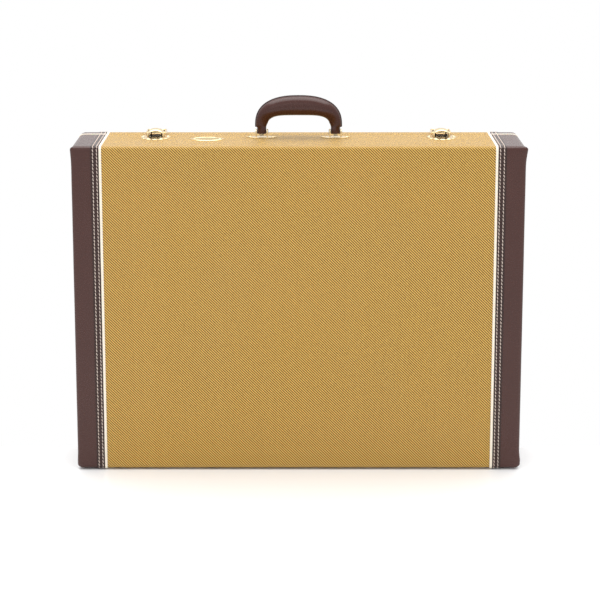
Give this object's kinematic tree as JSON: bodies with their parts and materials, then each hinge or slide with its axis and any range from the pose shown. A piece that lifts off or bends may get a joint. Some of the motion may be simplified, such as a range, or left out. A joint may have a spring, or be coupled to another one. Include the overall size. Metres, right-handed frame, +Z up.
{
  "type": "hard carrying case",
  "caption": "Tweed-covered hard carrying case for guitar gear, with vinyl ends, folding top handle, draw latches and a hinged back lid.",
  "frame": {"origin": "on the floor under the middle of the case, as it stands on its glides", "axes": "+X along the case's width, +Y from the front face to the back lid, +Z up to the handle"},
  "size_m": [0.6216, 0.1324, 0.52],
  "materials": {
    "tweed": "diagonal twill of tan and brown yarns",
    "vinyl": "dark brown pebbled vinyl",
    "seam_strip": "dark brown vinyl with two rows of pale stitching",
    "piping": "off-white satin piping",
    "handle_moulding": "dark brown satin moulding with a leather grain",
    "pale_gold": "polished pale gold plating",
    "steel": "plain",
    "plywood": "bare plywood",
    "foam": "soft foam",
    "plush": "short plush pile"
  },
  "bodies": {
    "base": {"front_panel": "plywood", "base_top_wall": "plywood", "base_bottom_wall": "plywood", "base_left_wall": "plywood", "base_right_wall": "plywood", "base_tweed": "tweed", "base_left_end_cover": "vinyl", "base_right_end_cover": "vinyl", "base_left_seam_strip": "seam_strip", "base_right_seam_strip": "seam_strip", "base_left_piping": "piping", "base_right_piping": "piping", "base_floor_foam": "foam", "base_side_foam": "foam", "base_lining": "plush", "valance": "plush", "glides": "steel", "handle_mount_left": "pale_gold", "handle_mount_right": "pale_gold", "handle_pin_left": "steel", "handle_pin_right": "steel", "handle_mount_screws": "pale_gold", "latch_plate_left": "pale_gold", "latch_plate_right": "pale_gold", "latch_pin_left": "steel", "latch_pin_right": "steel", "base_rivets": "pale_gold", "badge": "pale_gold", "badge_nails": "pale_gold", "hinge_left_base_leaf": "pale_gold", "hinge_middle_base_leaf": "pale_gold", "hinge_right_base_leaf": "pale_gold", "hinge_pins": "steel"},
    "lid": {"back_panel": "plywood", "lid_top_wall": "plywood", "lid_bottom_wall": "plywood", "lid_left_wall": "plywood", "lid_right_wall": "plywood", "lid_tweed": "tweed", "lid_left_end_cover": "vinyl", "lid_right_end_cover": "vinyl", "lid_left_seam_strip": "seam_strip", "lid_right_seam_strip": "seam_strip", "lid_left_piping": "piping", "lid_right_piping": "piping", "lid_foam": "foam", "lid_lining": "plush", "strike_left": "pale_gold", "strike_right": "pale_gold", "lid_rivets": "pale_gold", "hinge_left_lid_leaf": "pale_gold", "hinge_middle_lid_leaf": "pale_gold", "hinge_right_lid_leaf": "pale_gold"},
    "handle": {"handle_grip": "handle_moulding", "handle_welt": "handle_moulding", "handle_core": "steel"},
    "lever_left": {"latch_lever_left": "pale_gold"},
    "lever_right": {"latch_lever_right": "pale_gold"},
    "loop_left": {"latch_loop_left": "pale_gold"},
    "loop_right": {"latch_loop_right": "pale_gold"}
  },
  "joints": [
    {"name": "lid_hinge", "type": "hinge", "parent": "base", "child": "lid", "pos_m": [0, 0.041, 0.002], "axis": [-1, 0, 0], "range_deg": [0, 100]},
    {"name": "handle_fold", "type": "hinge", "parent": "base", "child": "handle", "pos_m": [0, 0.013, 0.468], "axis": [1, 0, 0], "range_deg": [-78, 78]},
    {"name": "latch_left_lift", "type": "hinge", "parent": "base", "child": "lever_left", "pos_m": [-0.2, 0.033, 0.466], "axis": [-1, 0, 0], "range_deg": [0, 110]},
    {"name": "latch_right_lift", "type": "hinge", "parent": "base", "child": "lever_right", "pos_m": [0.2, 0.033, 0.466], "axis": [-1, 0, 0], "range_deg": [0, 110]},
    {"name": "loop_left_swing", "type": "hinge", "parent": "lever_left", "child": "loop_left", "pos_m": [-0.2, 0.022, 0.4655], "axis": [-1, 0, 0], "range_deg": [-110, 0]},
    {"name": "loop_right_swing", "type": "hinge", "parent": "lever_right", "child": "loop_right", "pos_m": [0.2, 0.022, 0.4655], "axis": [-1, 0, 0], "range_deg": [-110, 0]}
  ],
  "couplings": [
    {"joint": "loop_left_swing", "follows": "latch_left_lift", "ratio": -1},
    {"joint": "loop_right_swing", "follows": "latch_right_lift", "ratio": -1}
  ]
}
